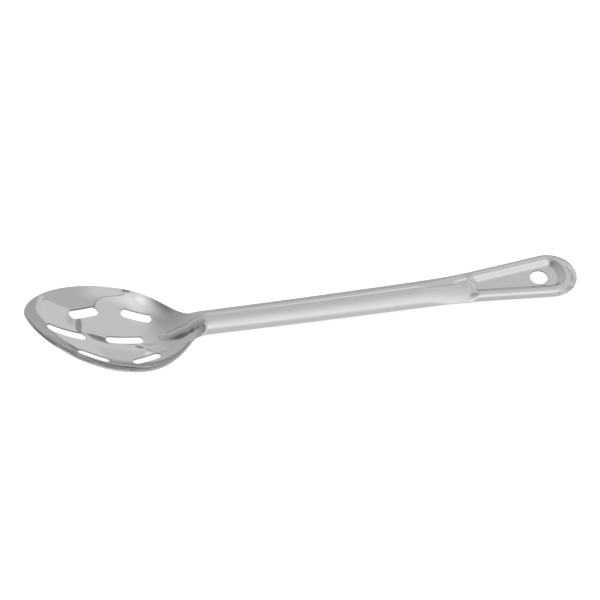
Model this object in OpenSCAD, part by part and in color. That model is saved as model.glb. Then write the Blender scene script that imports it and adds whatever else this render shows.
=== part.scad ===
// Slotted serving spoon, pressed from one sheet of stainless steel.
// It lies at rest on a table: +X runs from the bowl's tip to the handle's end, +Z is up,
// and the origin is under the middle of the spoon, on the table. All sizes are millimetres.

/* [Sheet] */
// Thickness of the sheet
sheet_t = 1.2; // [1:0.1:1.5]

/* [Bowl] */
// Length from the tip to the neck
bowl_l = 111.6; // [108:0.2:118]
// Greatest width across the rim
bowl_w = 73.4; // [66:0.1:78]
// Distance from the tip to the widest place
bowl_wide_x = 57; // [50:0.5:64]
// Greatest depth of the hollow under the rim
bowl_depth = 13; // [11:0.1:16]
// Distance from the tip to the deepest place
bowl_deep_x = 44; // [38:0.5:52]
// Height of the rim above the table beside the deepest place
rim_h = 25; // [22:0.5:30]
// Fall of the rim toward the neck, as a share of the distance
rim_fall_share = 0.44; // [0.38:0.01:0.5]
// Extra rise of the rim at one curl length from the deepest place
rim_curl_h = 5; // [4:0.05:6]
// Distance over which the rim curls up by that height
rim_curl_l = 50; // [45:1:60]

/* [Neck and handle] */
// Width at the neck, the narrowest place
neck_w = 21.1; // [18:0.1:24]
// Height of the handle's edges above the table at the neck
neck_h = 10.1; // [7:0.1:12]
// Length of the bend from the bowl's rim into the handle's edges
neck_bend_l = 5.5; // [4:0.1:7]
// Length from the neck to the handle's end
handle_l = 269.4; // [230:0.2:310]
// Sag of the handle's middle below a straight line from the neck to the end
handle_sag = 1.6; // [0:0.1:2]
// Width of the handle behind the neck
handle_w = 21.1; // [18:0.1:24]
// Width of the handle where it starts to widen
handle_end_w = 23.9; // [21:0.1:26]
// Height of the handle's round back above its edges
crown_h = 4.9; // [3.5:0.1:6]
// Length of the raised rib in the bowl, in front of the neck
rib_l = 24; // [18:0.5:28]
// Width of the rib where it starts
rib_tip_w = 6; // [5:0.5:8]
// Width of the rib at the neck
rib_w = 11.2; // [9:0.2:13]
// Height of the rib in the bowl's rear wall
rib_h = 3.2; // [2.5:0.1:4]
// Length behind the neck over which the rib melts into the round back
rib_melt_l = 32; // [25:1:50]

/* [Hanging end] */
// Length over which the handle widens to its round end
flare_l = 86; // [76:0.5:96]
// Radius of the round end
end_r = 19; // [16:0.1:21]
// Height of the end's edge above the table
end_h = 1; // [0.6:0.1:2]
// Length of the part with the bead and the flat panel
panel_l = 81; // [76:0.5:86]
// Height of the raised bead round the panel
bead_h = 2.9; // [2:0.1:3.6]
// Fall of the round back just in front of the panel
crown_sink = 1.4; // [0:0.1:2]
// Bulge of the round back's end toward the panel, on the middle line
crown_nose_l = 3.5; // [0:0.5:5]
// Depth of the panel below the top of the bead
panel_drop = 2.6; // [1.6:0.1:3]
// Distance from the side edges to the top of the bead
bead_side_w = 5.5; // [4.5:0.1:6.5]
// Distance from the end to the top of the bead
bead_end_w = 8; // [6:0.1:9]
// Width of the slope from the bead down to the panel
bead_slope_w = 4; // [3:0.1:5]
// Diameter of the hanging hole
hole_d = 12.4; // [9:0.1:13]
// Distance from the end to the middle of the hanging hole
hole_inset = 26.5; // [24:0.1:31]

/* [Slots] */
// Width of each slot
slot_w = 6.1; // [4.5:0.1:6.5]
// Length of the two slots on the middle line
mid_slot_l = 25.5; // [20:0.1:27]
// Length of the four side slots
side_slot_l = 21; // [16:0.1:22]
// Distance from the tip to the front slot on the middle line
mid_front_x = 26.4; // [25:0.1:29]
// Distance from the tip to the rear slot on the middle line
mid_rear_x = 65.2; // [62:0.1:68]
// Distance from the tip to the front pair of side slots
side_front_x = 41.1; // [39:0.1:44]
// Distance from the tip to the rear pair of side slots
side_rear_x = 76.7; // [74:0.1:79]
// Distance of the side slots from the middle line
side_slot_y = 18.9; // [17:0.1:20]
// Turn of the side slots out of the length, so that they follow the rim
side_slot_turn = 19; // [8:0.2:22]

/* [Hidden] */

steel = [0.72, 0.72, 0.73];

// Roundness of the rim in front of the widest place: the powers of a stretched ellipse
front_len_power_share = 1.85;
front_wide_power_share = 1.62;
// The same for the curve that runs back from the widest place into the neck
rear_len_power_share = 2.8;
rear_wide_power_share = 1.39;
// Powers of the hollow: across, along, and how it runs out at the neck
hollow_across_share = 2.4;
hollow_along_share = 2.4;
hollow_rear_share = 1.1;
hollow_over_l = 2;

// Distance over which the width settles behind the neck, and over which it starts to flare
neck_ease_l = 14;
flare_ease_l = 6;
// Whole length, 15 inches, and places along the spoon, measured from the tip
spoon_l = bowl_l + handle_l;
neck_x = bowl_l;
rib_x = neck_x - rib_l;
flare_x = spoon_l - flare_l;
panel_x = spoon_l - panel_l;
hole_x = spoon_l - hole_inset;
// The rim line bends a little in front of the neck
bend_lead_l = 4;
bend_x = neck_x - bend_lead_l;
// Lengths over which the rib rises, over which it spreads to the handle's full width, over which
// it reaches the round back's height, and over which the round back sinks toward the panel
rib_rise_l = 16;
rib_spread_l = 45;
crown_rise_l = 22;
crown_sink_l = 32;
// Sharpness of the crease at the foot of the rib
rib_foot_share = 1.25;
// Length of the slope from the round back down to the panel
panel_slope_l = 8;

// Overrun of every cut, and the half step that is used to find slopes
cut_over = 6;
probe_l = 0.02;
probe_share = 0.004;

// Centre of the round end, and the slope of the straight sides that touch its circle
end_x = spoon_l - end_r;
flare_dx = end_x - flare_x;
flare_turn = asin(end_r / norm([flare_dx, handle_end_w / 2])) - atan2(handle_end_w / 2, flare_dx);
round_x = end_x - end_r * sin(flare_turn);

// Rises smoothly from 0 to 1 while t goes from 0 to 1
function ease(t) = let (s = max(0, min(1, t))) s * s * (3 - 2 * s);

// Half the bowl's width: one curve in front of the widest place, one behind it
function bowl_front_half(x) =
    bowl_w / 2 * pow(1 - pow(1 - x / bowl_wide_x, front_len_power_share), 1 / front_wide_power_share);
function bowl_rear_half(x) =
    let (run = (x - bowl_wide_x) / (neck_x - bowl_wide_x))
    neck_w / 2 + (bowl_w - neck_w) / 2 * pow(1 - pow(run, rear_len_power_share), rear_wide_power_share);

// Half the handle's width, with the sides that open toward the round end
function handle_half(x) =
    let (widen = min(1, (x - neck_x) / (flare_x - neck_x)))
    neck_w / 2
    + (handle_w - neck_w) / 2 * ease((x - neck_x) / neck_ease_l)
    + (handle_end_w - handle_w) / 2 * widen
    + tan(flare_turn) * flare_ease_l * ln(1 + exp((x - flare_x) / flare_ease_l));
function end_half(x) = sqrt(max(0, end_r * end_r - (x - end_x) * (x - end_x)));

function half_w(x) =
    x <= bowl_wide_x ? bowl_front_half(x) :
    x <= neck_x ? bowl_rear_half(x) :
    x < round_x ? handle_half(x) : end_half(x);

// Height of the outer edge: the bowl's rim curls up to the tip, the handle's edges run down
// to the table with a slight sag, and a short bend at the neck joins the two lines
function rim_z(x) =
    let (run = x - bowl_deep_x)
    rim_h - rim_fall_share * run + rim_curl_h * pow(run / rim_curl_l, 2);
function handle_z(x) =
    let (run = (x - bend_x) / (spoon_l - bend_x))
    neck_h + (end_h - neck_h) * run - 4 * handle_sag * run * (1 - run);
function edge_z(x) =
    let (handle_part = 1 / (1 + exp(-2 * (x - bend_x) / neck_bend_l)))
    rim_z(x) * (1 - handle_part) + handle_z(x) * handle_part;

// Depth of the hollow on the middle line, and its fall from the rim at a share of the half width
function hollow(x) =
    x < bowl_deep_x ?
        bowl_depth * (1 - pow(1 - x / bowl_deep_x, hollow_along_share)) :
    x < neck_x + hollow_over_l ?
        bowl_depth * pow(
            1 - pow((x - bowl_deep_x) / (neck_x + hollow_over_l - bowl_deep_x), hollow_along_share),
            hollow_rear_share) :
    0;
function hollow_z(x, share) = -hollow(x) * (1 - pow(share, hollow_across_share));

// The rib that rises out of the bowl's rear wall and spreads into the handle's round back
function rib_half(x) =
    let (rise = ease((x - rib_x) / rib_rise_l))
    let (spread = ease((x - neck_x) / rib_spread_l))
    rib_tip_w / 2 + (rib_w - rib_tip_w) / 2 * rise + (half_w(x) - rib_w / 2) * spread;
function crown_high(x) =
    rib_h * ease((x - rib_x) / rib_rise_l)
    + (crown_h - rib_h) * ease((x - neck_x) / crown_rise_l)
    - crown_sink * ease((x - panel_x) / crown_sink_l + 1);
function crown_z(x, y) =
    let (near = min(1, abs(y) / max(probe_l, rib_half(x))))
    let (far = min(1, abs(y) / max(probe_l, half_w(x))))
    let (foot = rib_foot_share + (1 - rib_foot_share) * ease((x - neck_x) / rib_spread_l))
    let (melt = sqrt(ease((x - neck_x) / rib_melt_l)))
    crown_high(x) * ((1 - melt) * pow(1 - near * near, foot) + melt * (1 - far * far));

// The bead that follows the outline of the hanging end, and the panel sunk inside it
function bead_z(x, y) =
    let (radius = norm([x - end_x, y]))
    let (inset = x > end_x ? end_r - radius : half_w(x) - abs(y))
    let (nose = x > end_x ? pow((x - end_x) / max(probe_l, radius), 2) : 0)
    let (top_w = bead_side_w + (bead_end_w - bead_side_w) * nose)
    bead_h * sin(90 * max(0, min(1, inset / top_w))) - panel_drop * ease((inset - top_w) / bead_slope_w);

// The sheet's upper face, at a distance x from the tip and a share s of the half width
function face_point(x, s) =
    let (y = s * half_w(x))
    let (panel_part = ease((x - panel_x - crown_nose_l * (1 - s * s)) / panel_slope_l))
    let (crown = panel_part < 1 ? crown_z(x, y) : 0)
    let (bead = panel_part > 0 ? bead_z(x, y) : 0)
    [x, y, edge_z(x) + hollow_z(x, abs(s)) + crown * (1 - panel_part) + bead * panel_part];

// The lower face lies one thickness away along the upper face's normal
function face_normal(x, s) =
    let (px = max(2 * probe_l, min(spoon_l - 2 * probe_l, x)))
    let (along = face_point(px + probe_l, s) - face_point(px - probe_l, s))
    let (across = face_point(px, min(1, s + probe_share)) - face_point(px, max(-1, s - probe_share)))
    let (normal = cross(along, across))
    normal / norm(normal);
function under_point(x, s) = face_point(x, s) - sheet_t * face_normal(x, s);

// Cross sections of the sheet: close together at the tip, the neck, the panel's start and the
// round end, and far apart along the handle
tip_zone_l = 16;
tip_steps = 9;
bowl_step_l = 3;
neck_step_l = 2;
handle_step_l = 12;
slope_step_l = 1.4;
panel_step_l = 5;
end_steps = 13;
neck_zone_x = rib_x - neck_step_l;
handle_zone_x = neck_x + rib_spread_l;
panel_zone_x = panel_x + crown_nose_l + panel_slope_l;
sections = concat(
    [for (i = [1 : tip_steps]) tip_zone_l * pow(i / tip_steps, 2)],
    [for (x = [tip_zone_l + bowl_step_l : bowl_step_l : neck_zone_x - bowl_step_l / 2]) x],
    [for (x = [neck_zone_x : neck_step_l : neck_x + neck_ease_l]) x],
    [for (x = [neck_x + neck_ease_l + 2 * neck_step_l : 2 * neck_step_l : handle_zone_x]) x],
    [for (x = [handle_zone_x + handle_step_l / 2 : handle_step_l : panel_x - handle_step_l / 2]) x],
    [for (x = [panel_x : slope_step_l : panel_zone_x]) x],
    [for (x = [panel_zone_x + panel_step_l / 2 : panel_step_l : end_x - panel_step_l / 2]) x],
    [for (i = [0 : end_steps - 1]) end_x + end_r * sin(90 * i / end_steps)]
);
side_steps = 12;
columns = 2 * side_steps + 1;
shares = [for (j = [-side_steps : side_steps]) j / side_steps];

// Points of one face: the tip, the sections in order, and the far end
rows = len(sections);
face_size = rows * columns + 2;
upper = concat(
    [face_point(0, 0)],
    [for (x = sections) for (s = shares) face_point(x, s)],
    [face_point(spoon_l, 0)]
);
lower = concat(
    [under_point(0, 0)],
    [for (x = sections) for (s = shares) under_point(x, s)],
    [under_point(spoon_l, 0)]
);
// Where the sheet touches the table, and the middle of its whole length
table_z = min([for (p = lower) p[2]]);
front_x = min([for (p = lower) p[0]]);
middle_x = (front_x + spoon_l) / 2;

tip = 0;
far_end = face_size - 1;
last = rows - 1;
function at(row, column) = 1 + row * columns + column;

// Triangles of the upper face. The diagonals mirror each other about the middle line.
function patch(row, column) =
    let (a = at(row, column), b = at(row + 1, column), c = at(row + 1, column + 1), d = at(row, column + 1))
    column < side_steps ? [[a, d, c], [a, c, b]] : [[a, d, b], [b, d, c]];
upper_faces = concat(
    [for (j = [0 : columns - 2]) [tip, at(0, j + 1), at(0, j)]],
    [for (i = [0 : rows - 2]) for (j = [0 : columns - 2]) for (f = patch(i, j)) f],
    [for (j = [0 : columns - 2]) [at(last, j), at(last, j + 1), far_end]]
);
// The lower face has the same triangles turned over
lower_faces = [for (f = upper_faces) [f[0] + face_size, f[2] + face_size, f[1] + face_size]];

// The sheared edge, from one face to the other, right round the outline
outline = concat(
    [tip],
    [for (i = [0 : last]) at(i, 0)],
    [far_end],
    [for (i = [last : -1 : 0]) at(i, columns - 1)]
);
edge_faces = [
    for (i = [0 : len(outline) - 1])
        let (a = outline[i], b = outline[(i + 1) % len(outline)])
        for (f = [[a, b, b + face_size], [a, b + face_size, a + face_size]]) f
];

// A slot with round ends, cut straight down through the sheet
module slot(x, y, turn, length) {
    straight = length - slot_w;
    translate([x, y, -cut_over])
        rotate([0, 0, turn])
            linear_extrude(height = rim_z(0) + 2 * cut_over)
                union() {
                    square([straight, slot_w], center = true);
                    translate([-straight / 2, 0]) circle(d = slot_w, $fn = 32);
                    translate([straight / 2, 0]) circle(d = slot_w, $fn = 32);
                }
}

// Six slots: two on the middle line and a pair on each side that follows the rim
module slots() {
    for (x = [mid_front_x, mid_rear_x])
        slot(x, 0, 0, mid_slot_l);
    for (side = [-1, 1]) {
        slot(side_front_x, side * side_slot_y, side * side_slot_turn, side_slot_l);
        slot(side_rear_x, side * side_slot_y, -side * side_slot_turn, side_slot_l);
    }
}

module hanging_hole() {
    translate([hole_x, 0, -cut_over])
        cylinder(d = hole_d, h = 3 * cut_over, $fn = 64);
}

module spoon() {
    color(steel)
        translate([-middle_x, 0, -table_z])
            difference() {
                polyhedron(points = concat(upper, lower), faces = concat(upper_faces, lower_faces, edge_faces));
                slots();
                hanging_hole();
            }
}

spoon();
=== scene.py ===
# %% [markdown]
# A slotted serving spoon, pressed from one sheet of stainless steel and polished. This lesson
# builds it for Blender 4.5. The sheet's shape follows a rule, so a Geometry Nodes tree makes it:
# a flat grid of points is lifted into the bowl, the rib, the round-backed handle and the beaded
# end, given its thickness, and pierced. Everything is in metres, in the frame of the CAD model,
# which lies on a table with +X from the bowl's tip to the handle's end and +Z up.

# %% Load the CAD frame
from math import cos, e, hypot, radians, sin

import bmesh
import bpy
from mathutils import Matrix, Vector


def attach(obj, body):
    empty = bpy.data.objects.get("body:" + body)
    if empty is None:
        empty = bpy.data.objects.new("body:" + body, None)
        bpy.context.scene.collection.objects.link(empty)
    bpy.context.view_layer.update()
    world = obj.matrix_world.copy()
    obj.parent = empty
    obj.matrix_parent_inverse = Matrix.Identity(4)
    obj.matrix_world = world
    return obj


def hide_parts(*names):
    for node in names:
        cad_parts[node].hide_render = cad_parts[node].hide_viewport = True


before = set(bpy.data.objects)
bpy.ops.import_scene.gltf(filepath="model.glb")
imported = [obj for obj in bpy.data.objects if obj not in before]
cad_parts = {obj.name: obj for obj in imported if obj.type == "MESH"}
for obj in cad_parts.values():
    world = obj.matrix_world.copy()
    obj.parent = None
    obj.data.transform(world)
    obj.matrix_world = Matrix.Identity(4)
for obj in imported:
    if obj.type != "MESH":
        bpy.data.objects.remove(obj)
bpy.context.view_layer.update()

# %% [markdown]
# Every size of the spoon has a name and is written once, in millimetres as on a drawing. A few
# more inputs have no unit: a slope, an angle, and the powers that make a curve fuller or
# flatter. The tree gets them all as named inputs, so each can be tried in the modifier panel.

# %% The spoon's sizes
MM = 0.001
SIZES = {
    "sheet thickness": 1.2,
    "bowl length": 111.6, "bowl width": 73.4, "widest place": 57.0,
    "bowl depth": 13.0, "deepest place": 44.0, "hollow overrun": 2.0,
    "rim height": 25.0, "rim curl height": 5.0, "rim curl length": 50.0,
    "neck width": 21.1, "neck height": 10.1, "neck bend length": 5.5, "bend lead": 4.0,
    "neck ease": 14.0,
    "handle length": 269.4, "handle sag": 1.6, "handle width": 21.1, "handle end width": 23.9,
    "crown height": 4.9, "crown rise length": 8.0,
    "crown sink": 1.4, "crown sink length": 32.0,
    "rib length": 24.0, "rib tip width": 6.0, "rib width": 11.2, "rib height": 3.2,
    "rib rise length": 16.0, "rib spread length": 45.0, "rib melt length": 10.0,
    "flare length": 86.0, "flare ease": 6.0, "end radius": 19.0, "end height": 1.0,
    "panel length": 81.0, "panel slope length": 8.0, "panel drop": 2.6, "crown nose": 3.5,
    "bead height": 2.9, "bead side width": 5.5, "bead end width": 8.0, "bead slope width": 5.9,
    "hole width": 12.4, "hole inset": 26.5,
    "slot width": 6.1, "middle slot length": 25.5, "side slot length": 21.0,
    "middle front slot": 26.4, "middle rear slot": 65.2,
    "side front slot": 41.1, "side rear slot": 76.7, "side slot offset": 18.9,
    "tip zone": 16.0, "cutter height": 80.0,
}
SHAPES = {
    "rim fall": 0.44, "side slot turn": radians(19.0),
    "front length power": 1.85, "front width power": 1.62,
    "rear length power": 2.8, "rear width power": 1.39,
    "hollow power": 2.4, "hollow rear power": 1.1, "rib foot power": 1.25,
}
INPUTS = {name: value * MM for name, value in SIZES.items()} | SHAPES
print("named inputs:", len(INPUTS))

# %% [markdown]
# A rule such as "the bowl's front is half a stretched ellipse" is a formula. In Geometry Nodes
# a formula is a row of Math nodes, which is slow to wire by hand. So a small class stands for
# the output of one node, and Python's own signs + - * / ** between two of them add the Math
# node that joins them. The tree that comes out is the same as one wired with the mouse.

# %% Formulas that write Math nodes
class Formula:
    """A number that each point of a mesh, or each ray of light, works out for itself."""

    def __init__(self, tree, socket):
        self.tree, self.socket = tree, socket

    def __add__(self, other): return calc("ADD", self, other)
    def __radd__(self, other): return calc("ADD", other, self)
    def __sub__(self, other): return calc("SUBTRACT", self, other)
    def __rsub__(self, other): return calc("SUBTRACT", other, self)
    def __mul__(self, other): return calc("MULTIPLY", self, other)
    def __rmul__(self, other): return calc("MULTIPLY", other, self)
    def __truediv__(self, other): return calc("DIVIDE", self, other)
    def __rtruediv__(self, other): return calc("DIVIDE", other, self)
    def __pow__(self, other): return calc("POWER", self, other)


def feed(tree, slot, value):
    """Links a formula to a node's input, or types a plain value into it."""
    if isinstance(value, Formula):
        tree.links.new(value.socket, slot)
    else:
        slot.default_value = value


def calc(operation, *terms):
    """Adds one Math node. Its terms are formulas or plain numbers."""
    tree = next(term.tree for term in terms if isinstance(term, Formula))
    node = tree.nodes.new("ShaderNodeMath")
    node.operation = operation
    for slot, term in zip(node.inputs, terms):
        feed(tree, slot, term)
    return Formula(tree, node.outputs[0])


def add(tree, kind, inputs=None, output=0, **settings):
    """Adds a node with its settings, feeds its inputs by name and gives back one output."""
    node = tree.nodes.new(kind)
    for name, value in settings.items():
        setattr(node, name, value)
    for name, value in (inputs or {}).items():
        slot = next(s for s in node.inputs if s.enabled and s.name == name)
        for each in value if isinstance(value, list) else [value]:
            feed(tree, slot, each)
    return Formula(tree, node.outputs[output])


print("formula helpers are ready")

# %% [markdown]
# A few more words for the formulas: the least and the most of two numbers, a soft step that
# eases from 0 to 1, a blend of two values, and a choice between two formulas, which is the
# Switch node. Two more put a vector together from its parts and take it apart again.

# %% More words for formulas
QUARTER_TURN = radians(90.0)
HAIR = 0.01 * MM  # a width that no formula goes below where it divides


def least(a, b): return calc("MINIMUM", a, b)
def most(a, b): return calc("MAXIMUM", a, b)
def size_of(a): return calc("ABSOLUTE", a)
def below(a, b): return calc("LESS_THAN", a, b)
def between(a, low, high): return least(most(a, low), high)


def ease(a):
    """Rises smoothly from 0 to 1 while a goes from 0 to 1."""
    share = between(a, 0.0, 1.0)
    return share * share * (3.0 - 2.0 * share)


def step(a, start, width):
    """Rises smoothly from 0 to 1 while a goes from the start over the width."""
    return ease((a - start) / width)


def blend(a, b, share):
    """a where the share is 0, b where it is 1, and a mixture between."""
    return a + (b - a) * share


def pick(test, yes, no):
    """At each point, yes where the test is 1 and no where it is 0."""
    ends = {"Switch": test, "True": yes, "False": no}
    return add(test.tree, "GeometryNodeSwitch", ends, input_type="FLOAT")


def vector(tree, x=0.0, y=0.0, z=0.0):
    """Three formulas or numbers as one vector."""
    return add(tree, "ShaderNodeCombineXYZ", {"X": x, "Y": y, "Z": z})


def parts(whole):
    """The x, y and z of a vector, as three formulas."""
    node = add(whole.tree, "ShaderNodeSeparateXYZ", {"Vector": whole}).socket.node
    return [Formula(whole.tree, output) for output in node.outputs]


print("ease, step, blend, pick, vector and parts are ready")

# %% [markdown]
# The outline comes first: half the spoon's width at each distance x from the tip. The bowl is
# one stretched ellipse in front of its widest place and another curve behind it, which runs
# into the neck. The handle's sides open a little, then flare to touch the round end's circle.
# A traced outline would do as well, but a rule keeps every curve smooth in the polished steel.

# %% Half the width
def flare_of(g):
    """Where the round end's circle is, and the slope of the straight sides that touch it."""
    centre = g["bowl length"] + g["handle length"] - g["end radius"]
    run, half = g["flare length"] - g["end radius"], g["handle end width"] / 2.0
    reach = calc("SQRT", run * run + half * half)
    turn = calc("ARCSINE", g["end radius"] / reach) - calc("ARCTAN2", half, run)
    return centre, turn


def half_width(g, x):
    """Half the spoon's width at the distance x from the tip."""
    wide, neck = g["widest place"], g["bowl length"]
    half_bowl, half_neck = g["bowl width"] / 2.0, g["neck width"] / 2.0
    ahead = between(1.0 - x / wide, 0.0, 1.0) ** g["front length power"]
    front = half_bowl * (1.0 - ahead) ** (1.0 / g["front width power"])
    run = between((x - wide) / (neck - wide), 0.0, 1.0) ** g["rear length power"]
    rear = half_neck + (half_bowl - half_neck) * (1.0 - run) ** g["rear width power"]
    centre, turn = flare_of(g)
    flare_x = neck + g["handle length"] - g["flare length"]
    opened = calc("LOGARITHM", 1.0 + calc("EXPONENT", (x - flare_x) / g["flare ease"]), e)
    handle = (
        half_neck
        + (g["handle width"] - g["neck width"]) / 2.0 * step(x, neck, g["neck ease"])
        + (g["handle end width"] - g["handle width"]) / 2.0 * least((x - neck) / (flare_x - neck), 1.0)
        + calc("TANGENT", turn) * g["flare ease"] * opened
    )
    radius, back = g["end radius"], x - centre
    end = calc("SQRT", most(radius * radius - back * back, 0.0))
    round_x = centre - radius * calc("SINE", turn)
    return pick(below(x, wide), front, pick(below(x, neck), rear, pick(below(x, round_x), handle, end)))


print("outline rule is ready")

# %% [markdown]
# Then the heights. The rim is highest at the tip and falls toward the neck, where a short soft
# bend joins it to the handle's edges, which run down to the table with a slight sag. The
# bowl's hollow hangs below the rim. The rib rises out of the bowl's rear wall and spreads into
# the handle's round back. At the end a bead follows the outline round a sunk flat panel.

# %% Heights of the pressed sheet
def edge_height(g, x):
    """The height of the bowl's rim and of the handle's edges."""
    along = x - g["deepest place"]
    curl = along / g["rim curl length"]
    rim = g["rim height"] - g["rim fall"] * along + g["rim curl height"] * curl * curl
    bend_x = g["bowl length"] - g["bend lead"]
    run = (x - bend_x) / (g["bowl length"] + g["handle length"] - bend_x)
    sag = 4.0 * g["handle sag"] * run * (1.0 - run)
    handle = g["neck height"] + (g["end height"] - g["neck height"]) * run - sag
    bent = 1.0 / (1.0 + calc("EXPONENT", (bend_x - x) / g["neck bend length"] * 2.0))
    return blend(rim, handle, bent)


def hollow_height(g, x, share):
    """How far the bowl's hollow hangs down, at a share of the way from the middle to the rim."""
    deep_x, power = g["deepest place"], g["hollow power"]
    front = 1.0 - between(1.0 - x / deep_x, 0.0, 1.0) ** power
    rear_run = between((x - deep_x) / (g["bowl length"] + g["hollow overrun"] - deep_x), 0.0, 1.0)
    rear = (1.0 - rear_run ** power) ** g["hollow rear power"]
    return g["bowl depth"] * pick(below(x, deep_x), front, rear) * (share ** power - 1.0)


def crown_height(g, x, y, half):
    """The rib in the bowl's rear wall, and the handle's round back that it grows into."""
    neck = g["bowl length"]
    rise = ease((x - neck + g["rib length"]) / g["rib rise length"])
    spread = step(x, neck, g["rib spread length"])
    tip, rib = g["rib tip width"] / 2.0, g["rib width"] / 2.0
    rib_half = least(tip + (rib - tip) * rise + (half - rib) * spread, half)
    near = least(size_of(y) / most(rib_half, HAIR), 1.0)
    far = least(size_of(y) / most(half, HAIR), 1.0)
    foot = g["rib foot power"] + (1.0 - g["rib foot power"]) * spread
    melt = calc("SQRT", step(x, neck, g["rib melt length"]))
    settle = step(x, neck, g["crown rise length"])
    sink = g["crown sink"] * ease((x - g["panel start"]) / g["crown sink length"] + 1.0)
    high = g["rib height"] * rise + (g["crown height"] - g["rib height"]) * settle - sink
    return high * ((1.0 - melt) * (1.0 - near * near) ** foot + melt * (1.0 - far * far))


def bead_height(g, x, y, half):
    """The bead along the outline of the end, and the sunk panel inside it."""
    centre, _ = flare_of(g)
    back = x - centre
    reach = calc("SQRT", back * back + y * y)
    past = below(centre, x)
    inset = pick(past, g["end radius"] - reach, half - size_of(y))
    nose = back / most(reach, HAIR)
    wider = (g["bead end width"] - g["bead side width"]) * pick(past, nose * nose, 0.0)
    top = g["bead side width"] + wider
    bead = g["bead height"] * calc("SINE", QUARTER_TURN * between(inset / top, 0.0, 1.0))
    return bead - g["panel drop"] * step(inset, top, g["bead slope width"])


print("height rules are ready")

# %% [markdown]
# The tree itself. Its group input carries the named sizes, each as one number that is the same
# for every point, so the rules above can be written with them.

# %% The tree and its named inputs
tree = bpy.data.node_groups.new("pressed_slotted_sheet", "GeometryNodeTree")
for name, value in INPUTS.items():
    socket = tree.interface.new_socket(name, in_out="INPUT", socket_type="NodeSocketFloat")
    socket.default_value = value
tree.interface.new_socket("steel", in_out="INPUT", socket_type="NodeSocketMaterial")
tree.interface.new_socket("sheet", in_out="OUTPUT", socket_type="NodeSocketGeometry")
group_in = tree.nodes.new("NodeGroupInput")
g = {socket.name: Formula(tree, socket) for socket in group_in.outputs if socket.name}
g["panel start"] = g["bowl length"] + g["handle length"] - g["panel length"]
print("tree inputs:", len(g) - 1)

# %% [markdown]
# A grid gives rows of points along the spoon and columns across it. The rows stand closest
# where the outline turns fastest, at the tip and round the end, and the columns stand closest
# to the middle line, where the narrow rib needs them. Set Position then lifts each point to its
# place on the sheet's upper face. At the tip and the end all columns meet, and are welded there.

# %% The upper face
ROWS, COLUMNS = 620, 74
CROWDING = 0.34  # share by which the columns move toward the middle line
WELD = 0.001 * MM

counts = {"Vertices X": ROWS, "Vertices Y": COLUMNS}
grid = add(tree, "GeometryNodeMeshGrid", {"Size X": 1.0, "Size Y": 1.0} | counts)
grid_x, grid_y, _ = parts(add(tree, "GeometryNodeInputPosition"))
row, column = grid_x + 0.5, grid_y * 2.0

tip, radius = g["tip zone"], g["end radius"]
centre, _ = flare_of(g)
walk = row * (centre + tip + radius * QUARTER_TURN)
tip_x = tip * (walk / (2.0 * tip)) ** 2.0
end_x = centre + radius * calc("SINE", least((walk - tip - centre) / radius, QUARTER_TURN))
x = pick(below(walk, 2.0 * tip), tip_x, pick(below(walk, centre + tip), walk - tip, end_x))
share = column * (1.0 - CROWDING + CROWDING * column * column)
half = half_width(g, x)
y = share * half
nose = g["crown nose"] * (1.0 - share * share)
panel = step(x - g["panel start"], nose, g["panel slope length"])
z = (
    edge_height(g, x)
    + hollow_height(g, x, size_of(share))
    + crown_height(g, x, y, half) * (1.0 - panel)
    + bead_height(g, x, y, half) * panel
)
lifted = add(tree, "GeometryNodeSetPosition", {"Geometry": grid, "Position": vector(tree, x, y, z)})
upper = add(tree, "GeometryNodeMergeByDistance", {"Geometry": lifted, "Distance": WELD})
print("nodes so far:", len(tree.nodes))

# %% [markdown]
# The press gives the sheet the same thickness everywhere, so the lower face lies one thickness
# away along the normals. Extrude Mesh does that and also makes the sheared edge right round.
# The face is turned over first, because an extruded face looks the way that it was moved.

# %% The thickness
turned = add(tree, "GeometryNodeFlipFaces", {"Mesh": upper})
pushed = {"Mesh": turned, "Offset Scale": g["sheet thickness"], "Individual": False}
under = add(tree, "GeometryNodeExtrudeMesh", pushed)
both = add(tree, "GeometryNodeJoinGeometry", {"Geometry": [upper, under]})
blank = add(tree, "GeometryNodeMergeByDistance", {"Geometry": both, "Distance": WELD})
print("nodes so far:", len(tree.nodes))

# %% [markdown]
# The slots and the hanging hole are punched straight down. Each punch is an instance of a
# cylinder whose two halves are pulled apart. The middle pair stands on the middle line, and the
# four side slots are turned so that they follow the rim. Mesh Boolean takes them out.

# %% The punches
PUNCH_SIDES = 50


def punch(tree, width, length, height):
    """A pin with round ends, as long as the slot that it cuts."""
    sizes = {"Vertices": PUNCH_SIDES, "Radius": width / 2.0, "Depth": height}
    pin = add(tree, "GeometryNodeMeshCylinder", sizes)
    pin_x, _, _ = parts(add(tree, "GeometryNodeInputPosition"))
    pull = vector(tree, calc("SIGN", pin_x) * (length - width) / 2.0)
    return add(tree, "GeometryNodeSetPosition", {"Geometry": pin, "Offset": pull})


def stand(tree, pin, count, x, y=0.0, turn=0.0):
    """Stands copies of a pin on count points, whose places are formulas of their index."""
    points = add(tree, "GeometryNodePoints", {"Count": count, "Position": vector(tree, x, y)})
    turned = vector(tree, z=turn)
    return add(tree, "GeometryNodeInstanceOnPoints", {"Points": points, "Instance": pin, "Rotation": turned})


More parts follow.
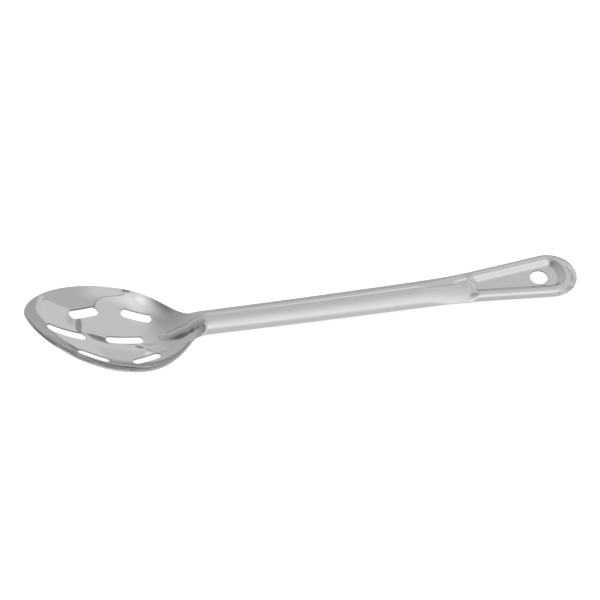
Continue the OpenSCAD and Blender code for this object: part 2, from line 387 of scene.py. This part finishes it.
index = add(tree, "GeometryNodeInputIndex")
rear = below(0.5, calc("MODULO", index, 2.0))
side = 1.0 - 2.0 * below(1.5, index)
tall, width = g["cutter height"], g["slot width"]
middle_x = blend(g["middle front slot"], g["middle rear slot"], rear)
side_x = blend(g["side front slot"], g["side rear slot"], rear)
side_turn = g["side slot turn"] * side * (1.0 - 2.0 * rear)
hole_x = g["bowl length"] + g["handle length"] - g["hole inset"]
middle_pin = punch(tree, width, g["middle slot length"], tall)
side_pin = punch(tree, width, g["side slot length"], tall)
hole_pin = punch(tree, g["hole width"], g["hole width"], tall)
punches = [
    stand(tree, middle_pin, 2, middle_x),
    stand(tree, side_pin, 4, side_x, g["side slot offset"] * side, side_turn),
    stand(tree, hole_pin, 1, hole_x),
]
joined = add(tree, "GeometryNodeJoinGeometry", {"Geometry": punches})
pins = add(tree, "GeometryNodeRealizeInstances", {"Geometry": joined})
cut = {"operation": "DIFFERENCE", "solver": "EXACT"}
pierced = add(tree, "GeometryNodeMeshBoolean", {"Mesh 1": blank, "Mesh 2": pins}, **cut)
print("nodes so far:", len(tree.nodes))

# %% [markdown]
# The CAD model's origin is under the middle of the spoon, on the table, so the tree ends by
# moving the sheet there by its own bounding box. Edges that turn sharply, such as the sheared
# rim, stay crisp, and all else is smooth. Realize Instances and Set Material come last, because
# an export drops instances.

# %% To the table, smooth, and into the material
CRISP_ANGLE = radians(40.0)

low_x, low_y, low_z = parts(add(tree, "GeometryNodeBoundBox", {"Geometry": pierced}, output="Min"))
high_x, high_y, _ = parts(add(tree, "GeometryNodeBoundBox", {"Geometry": pierced}, output="Max"))
shift = vector(tree, (low_x + high_x) * -0.5, (low_y + high_y) * -0.5, low_z * -1.0)
seated = add(tree, "GeometryNodeSetPosition", {"Geometry": pierced, "Offset": shift})
smooth = add(tree, "GeometryNodeSetShadeSmooth", {"Geometry": seated, "Shade Smooth": True}, domain="FACE")
corner = below(CRISP_ANGLE, add(tree, "GeometryNodeInputMeshEdgeAngle"))
sheared = {"Geometry": smooth, "Selection": corner, "Shade Smooth": False}
crisp = add(tree, "GeometryNodeSetShadeSmooth", sheared, domain="EDGE")
solid = add(tree, "GeometryNodeRealizeInstances", {"Geometry": crisp})
dressed = add(tree, "GeometryNodeSetMaterial", {"Geometry": solid, "Material": g["steel"]})
tree.links.new(dressed.socket, tree.nodes.new("NodeGroupOutput").inputs["sheet"])
print("nodes in the whole tree:", len(tree.nodes))

# %% [markdown]
# The modifier's inputs are set by each socket's identifier before the object is first
# evaluated. The evaluated result becomes a plain mesh, and the maker object is then removed.

# %% Press the sheet
steel = bpy.data.materials.new("polished_steel")
maker = bpy.data.objects.new("sheet_maker", bpy.data.meshes.new("sheet_maker"))
bpy.context.scene.collection.objects.link(maker)
press = maker.modifiers.new("press", "NODES")
press.node_group = tree
for socket in tree.interface.items_tree:
    if socket.in_out == "INPUT":
        press[socket.identifier] = steel if socket.name == "steel" else INPUTS[socket.name]
graph = bpy.context.evaluated_depsgraph_get()
mesh = bpy.data.meshes.new_from_object(maker.evaluated_get(graph), depsgraph=graph)
mesh.name = "spoon_sheet"
spoon = bpy.data.objects.new("spoon_sheet", mesh)
bpy.context.scene.collection.objects.link(spoon)
bpy.data.objects.remove(maker)
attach(spoon, "root")
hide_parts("spoon")
print("sheet:", len(mesh.vertices), "points,", len(mesh.polygons), "faces")

# %% [markdown]
# Polished stainless steel is a metal with a slightly blurred mirror. Three things keep it from
# looking like chrome plate. The polishing wheel leaves very fine lines along the spoon, which
# blur the mirror a little more in places. The pressed sheet is never perfectly even, so long
# soft waves bend the reflections. And handling leaves faint duller smudges. All three are noise
# on Object coordinates, stretched along the spoon for the lines, so nothing slides with the view.
# Tumbling also takes the sharpness off the sheared edges. A Bevel node rounds them in the shading
# alone, because a real bevel on so fine a mesh would double its faces for a quarter millimetre.

# %% The polished steel
BLUR, LINE_BLUR, SMUDGE_BLUR = 0.022, 0.035, 0.05
SHADE, LINE_SHADE, COLD = 0.60, 0.035, 1.006
EDGE_ROUNDING, WAVE_HEIGHT, LINE_HEIGHT = 0.3 * MM, 0.012 * MM, 0.00012 * MM


def shader(material):
    """Turns the material's nodes on, and gives back its tree and its shader."""
    material.use_nodes = True
    tree = material.node_tree
    return tree, tree.nodes["Principled BSDF"]


tree, skin = shader(steel)
in_the_steel = add(tree, "ShaderNodeTexCoord", output="Object")


def grain(scale, detail, stretch=1.0):
    """Noise in the steel, so many lumps a metre, drawn out along the spoon by the stretch."""
    drawn_out = {"Vector": in_the_steel, "Scale": (1.0 / stretch, 1.0, 1.0)}
    mapped = add(tree, "ShaderNodeMapping", drawn_out)
    return add(tree, "ShaderNodeTexNoise", {"Vector": mapped, "Scale": scale, "Detail": detail})


lines = grain(2600.0, detail=1.0, stretch=60.0)
smudges = grain(45.0, detail=3.0)
waves = grain(26.0, detail=1.0)
smudged = step(smudges, start=0.45, width=0.3)
feed(tree, skin.inputs["Roughness"], BLUR + LINE_BLUR * lines + SMUDGE_BLUR * smudged)
shade = SHADE + LINE_SHADE * lines
tint = add(tree, "ShaderNodeCombineColor", {"Red": shade, "Green": shade, "Blue": shade * COLD})
feed(tree, skin.inputs["Base Color"], tint)
skin.inputs["Metallic"].default_value = 1.0
rounded = add(tree, "ShaderNodeBevel", {"Radius": EDGE_ROUNDING}, samples=4)
height = WAVE_HEIGHT * waves + LINE_HEIGHT * lines
pressed = {"Strength": 1.0, "Distance": 1.0, "Height": height, "Normal": rounded}
uneven = add(tree, "ShaderNodeBump", pressed)
feed(tree, skin.inputs["Normal"], uneven)
print("steel nodes:", len(tree.nodes))

# %% [markdown]
# The floor is plain pale paper. A product photo is printed with its background lightened to
# white, so the paper glows a little for the camera alone, and the steel mirrors it as it is.
# Half a metre off to the right and at the back a pool of light is painted on the paper: it glows more there
# for the steel alone, though no lamp stands there. The bowl's tip shows it as a pale field that ends in a
# clear edge.

# %% The floor
FLOOR_RADIUS, FLOOR_GAP = 12.0, 0.05 * MM
# the last strength is a painted pool of light, a glow on the paper that stands in for a lamp
PAPER, PRINTED_WHITE, PAINTED_POOL_GLOW = 0.86, 0.80, 0.30
PAINTED_POOL_FROM, PAINTED_POOL_EDGE = 0.42, 0.06

bm = bmesh.new()
just_below = Matrix.Translation((0, 0, -FLOOR_GAP))
bmesh.ops.create_circle(bm, cap_ends=True, segments=96, radius=FLOOR_RADIUS, matrix=just_below)
floor_mesh = bpy.data.meshes.new("floor")
bm.to_mesh(floor_mesh)
bm.free()
floor = bpy.data.objects.new("floor", floor_mesh)
bpy.context.scene.collection.objects.link(floor)
paper = bpy.data.materials.new("pale_paper")
floor_mesh.materials.append(paper)
tree, skin = shader(paper)
skin.inputs["Base Color"].default_value = (PAPER, PAPER, PAPER, 1.0)
skin.inputs["Roughness"].default_value = 0.9
skin.inputs["Specular IOR Level"].default_value = 0.0
skin.inputs["Emission Color"].default_value = (1.0, 1.0, 1.0, 1.0)
seen = add(tree, "ShaderNodeLightPath", output="Is Camera Ray")
floor_x, floor_y, _ = parts(add(tree, "ShaderNodeTexCoord", output="Object"))
away = calc("SQRT", floor_x * floor_x + floor_y * floor_y)
behind = step(floor_y, start=0.02, width=0.06)
to_the_right = step(floor_x + 0.3 * floor_y, start=0.0, width=0.2)
# painted pool of light: the paper glows brighter here, seen only in reflections, where no lamp shines
painted_light_pool = step(away, PAINTED_POOL_FROM, PAINTED_POOL_EDGE) * behind * to_the_right
paper_glow_and_painted_pool = PRINTED_WHITE * seen + PAINTED_POOL_GLOW * painted_light_pool * (1.0 - seen)
feed(tree, skin.inputs["Emission Strength"], paper_glow_and_painted_pool)
print("floor is", 2.0 * FLOOR_RADIUS, "m across")

# %% [markdown]
# A mirror shows its surroundings, so on polished steel the light is half of the finish. A small
# studio is drawn on the sky, as a plan: the middle is straight above the spoon, the horizon is a
# circle of radius 1, +X is to the right and +Y goes away from the camera. This projection keeps
# circles round. Painted sky was chosen over lamps and cards because nothing then stands in the
# way of a camera, from whichever side the spoon is looked at.

# %% The plan of the studio
LEAST_LIFT = 0.02  # keeps the plan finite straight below the spoon

world = bpy.data.worlds.new("studio")
bpy.context.scene.world = world
world.use_nodes = True
tree = world.node_tree
way_x, way_y, way_z = parts(add(tree, "ShaderNodeTexCoord", output="Generated"))
lift = most(1.0 + way_z, LEAST_LIFT)
plan_x, plan_y = way_x / lift, way_y / lift


def patch(x, y, wide, long, turn=0.0, soft=1.0):
    """1 in the middle of an oval of the plan and 0 outside it. Soft is the share that fades."""
    c, s = cos(radians(turn)), sin(radians(turn))
    across = ((plan_x - x) * c + (plan_y - y) * s) / wide
    along = ((plan_y - y) * c - (plan_x - x) * s) / long
    out = calc("SQRT", across * across + along * along)
    return 1.0 - ease((out - 1.0 + soft) / soft)


print("plan helpers are ready")

# %% [markdown]
# The room first. Its left side is dim and grows lighter toward the back. Its right side is
# pale at the back, with one duller stretch, and duller in front, with one brighter oval. The
# line between the two runs level and then rises to the right. All tones are shares of white.

# %% The room
LEFT_FRONT, LEFT_REAR, RIGHT_FRONT, RIGHT_REAR = 0.40, 0.65, 0.67, 0.87
OVAL_BRIGHTER, STRETCH_DULLER = 0.30, 0.10
PARTING, PARTING_RISE, RISES_FROM = 0.025, 0.6, 0.90

left = blend(LEFT_FRONT, LEFT_REAR, step(plan_y, start=-0.30, width=0.95))
front = RIGHT_FRONT + OVAL_BRIGHTER * patch(0.30, -0.42, wide=0.45, long=0.38)
dull = step(plan_y, start=0.50, width=0.08) * (1.0 - step(plan_x, start=0.42, width=0.03))
rear = RIGHT_REAR - STRETCH_DULLER * dull
parting = PARTING + PARTING_RISE * most(plan_x - RISES_FROM, 0.0)
right = blend(front, rear, step(plan_y, parting, width=0.03))
lit = step(plan_x, start=-0.02, width=0.24)
print("the room is painted")

# %% [markdown]
# Overhead hangs a large bright diffuser. Its right and front edges lean a little and meet in a
# round corner, which shows in the bowl as the thin dark line between the slots. Its back edge
# runs straight and then slants away to the left. Each edge is a distance that is below zero
# inside, so the largest of them tells how far a place is from the diffuser. In front and to
# the left the diffuser has no edge, because the lamp's glow runs over it there. A dark seam
# follows the edge, fainter in front and gone beside the stand.

# %% The diffuser overhead
DIFFUSER, CORNER, SOFT_EDGE = 0.84, 0.07, 0.016
SEAM_WIDTH, SEAM_DARKER, FAINTER_IN_FRONT = 0.013, 0.60, 0.35
RIGHT_EDGE, RIGHT_LEAN, FRONT_EDGE, FRONT_LEAN = 0.461, 0.14, 0.318, 0.34
BACK_EDGE, SLANT_FROM, SLANT = 0.415, 0.235, 1.1
OPEN_LEFT_OF, OPEN_IN_FRONT_OF = 0.24, -0.1

to_right = (plan_x - RIGHT_EDGE - RIGHT_LEAN * plan_y) / hypot(1.0, RIGHT_LEAN) + CORNER
to_front = (FRONT_LEAN * plan_x - FRONT_EDGE - plan_y) / hypot(1.0, FRONT_LEAN) + CORNER
out_right, out_front = most(to_right, 0.0), most(to_front, 0.0)
rounded_off = calc("SQRT", out_right * out_right + out_front * out_front)
corner = rounded_off + least(most(to_right, to_front), 0.0) - CORNER
to_back = plan_y - BACK_EDGE - SLANT * most(SLANT_FROM - plan_x, 0.0)
open_side = most(plan_x - OPEN_LEFT_OF, plan_y - OPEN_IN_FRONT_OF)
rim = least(most(corner, to_back), open_side)
inside = ease(0.5 - rim / SOFT_EDGE)
seam = (1.0 - ease(size_of(rim) / SEAM_WIDTH)) * step(plan_x, start=0.20, width=0.06)
at_front = step(-1.0 * plan_y, start=0.04, width=0.04)
at_side = step(plan_y, start=0.0, width=0.05) * (1.0 - step(plan_y, start=0.40, width=0.03))
glow = blend(left, blend(right, DIFFUSER, inside), lit)
glow = glow * (1.0 - SEAM_DARKER * seam * (1.0 - FAINTER_IN_FRONT * at_front) * (1.0 - at_side))
print("sky nodes so far:", len(tree.nodes))

# %% [markdown]
# Then the lamps add light and the dark things take it away: the stand that holds the diffuser,
# its clamps and cable, and the dark end of the room behind the camera's left side. The lamp
# above the diffuser shines through it, and only a little of it passes the edges.

# %% Lamps and dark things
LAMPS = {  # brightness, then the oval: x, y, half width, half length, turn in degrees, softness
    "lamp above the diffuser": (0.60, 0.045, -0.195, 0.27, 0.32, 0.0, 1.0),
    "its hot spot": (0.26, 0.062, -0.20, 0.085, 0.10, 0.0, 1.0),
    "bright front of the diffuser": (0.20, 0.26, -0.17, 0.16, 0.12, 0.0, 1.0),
    "bright middle": (0.16, 0.14, 0.05, 0.13, 0.24, 0.0, 1.0),
    "tall lamp in front": (0.45, -0.01, -0.43, 0.10, 0.30, 0.0, 1.0),
    "strip lamp at the back": (0.38, 0.17, 0.62, 0.05, 0.13, 0.0, 1.0),
    "bright corner": (0.30, 0.93, 0.70, 0.14, 0.14, 0.0, 1.0),
    "glow at the lower right": (0.12, 0.45, -0.22, 0.22, 0.12, 0.0, 1.0),
}
DARKS = {  # share of the light that goes, then the oval as above
    "room behind the camera": (0.55, -0.34, -0.36, 0.34, 0.18, 0.0, 0.27),
    "its soft border": (0.30, -0.22, -0.14, 0.16, 0.12, 0.0, 1.0),
    "stand": (0.50, 0.526, 0.31, 0.030, 0.17, 0.0, 0.22),
    "dark door": (0.22, 0.60, 0.26, 0.08, 0.18, 0.0, 1.0),
    "left clamp": (0.55, 0.415, 0.425, 0.070, 0.030, -19.0, 0.5),
    "right clamp": (0.55, 0.213, 0.452, 0.042, 0.026, -45.0, 0.6),
    "cable": (0.40, 0.160, 0.520, 0.018, 0.06, 28.0, 0.8),
    "back seam": (0.22, 0.150, 0.415, 0.065, 0.020, 0.0, 0.6),
    "foot of the cable": (0.45, 0.060, 0.635, 0.045, 0.018, -35.0, 0.8),
    "lip below the lamp": (0.20, 0.10, -0.30, 0.28, 0.11, 0.0, 1.0),
    "front clamp": (0.60, 0.205, -0.278, 0.075, 0.022, 0.0, 0.6),
}
PAST_THE_EDGES, HORIZON_DARKER = 0.25, 0.35

dimmed = step(plan_x, start=-0.18, width=0.17) * blend(PAST_THE_EDGES, 1.0, inside)
for name, (bright, *oval) in LAMPS.items():
    beam = bright * patch(*oval)
    glow = glow + (beam * dimmed if name == "lamp above the diffuser" else beam)
for share, *oval in DARKS.values():
    glow = glow * (1.0 - share * patch(*oval))
reach = calc("SQRT", plan_x * plan_x + plan_y * plan_y)
glow = glow * (1.0 - HORIZON_DARKER * step(reach, start=0.95, width=0.35))
background = tree.nodes["Background"]
background.inputs["Color"].default_value = (1.0, 1.0, 1.0, 1.0)
feed(tree, background.inputs["Strength"], glow)
print("sky nodes in all:", len(tree.nodes))

# %% [markdown]
# The camera looks down on the spoon from the left of the bowl, through a long lens that keeps
# the handle's far end nearly as large as the near one. It is set up as on a tripod: the point
# it aims at, how far it stands to the side, how steeply it looks down, how far off it is, and
# how much it leans. These came from matching the outline, the slots and the hole in the photo.

# %% The camera
AIM, DISTANCE = Vector((-0.0007, 0.0142, 0.0)), 1.946
TO_THE_SIDE, STEEPNESS, LEAN = radians(-15.3), radians(49.76), radians(2.82)
FOCAL_LENGTH, SENSOR = 171.55, 36.0

lens = bpy.data.cameras.new("camera")
camera = bpy.data.objects.new("camera", lens)
bpy.context.scene.collection.objects.link(camera)
bpy.context.scene.camera = camera
swing = Matrix.Rotation(TO_THE_SIDE, 4, "Z")
tilt = Matrix.Rotation(QUARTER_TURN - STEEPNESS, 4, "X")
away_from_it = Matrix.Translation((0.0, 0.0, DISTANCE))
lean = Matrix.Rotation(LEAN, 4, "Z")
camera.matrix_world = Matrix.Translation(AIM) @ swing @ tilt @ away_from_it @ lean
lens.sensor_width = SENSOR
lens.lens = FOCAL_LENGTH
lens.clip_end = 100.0
bpy.context.scene.view_settings.view_transform = "Standard"
print("the camera stands at", [round(v, 3) for v in camera.matrix_world.translation])

# %% [markdown]
# The spoon has to keep the CAD model's size. The last cell brings the view layer up to date.

# %% Bring the view layer up to date
bpy.context.view_layer.update()
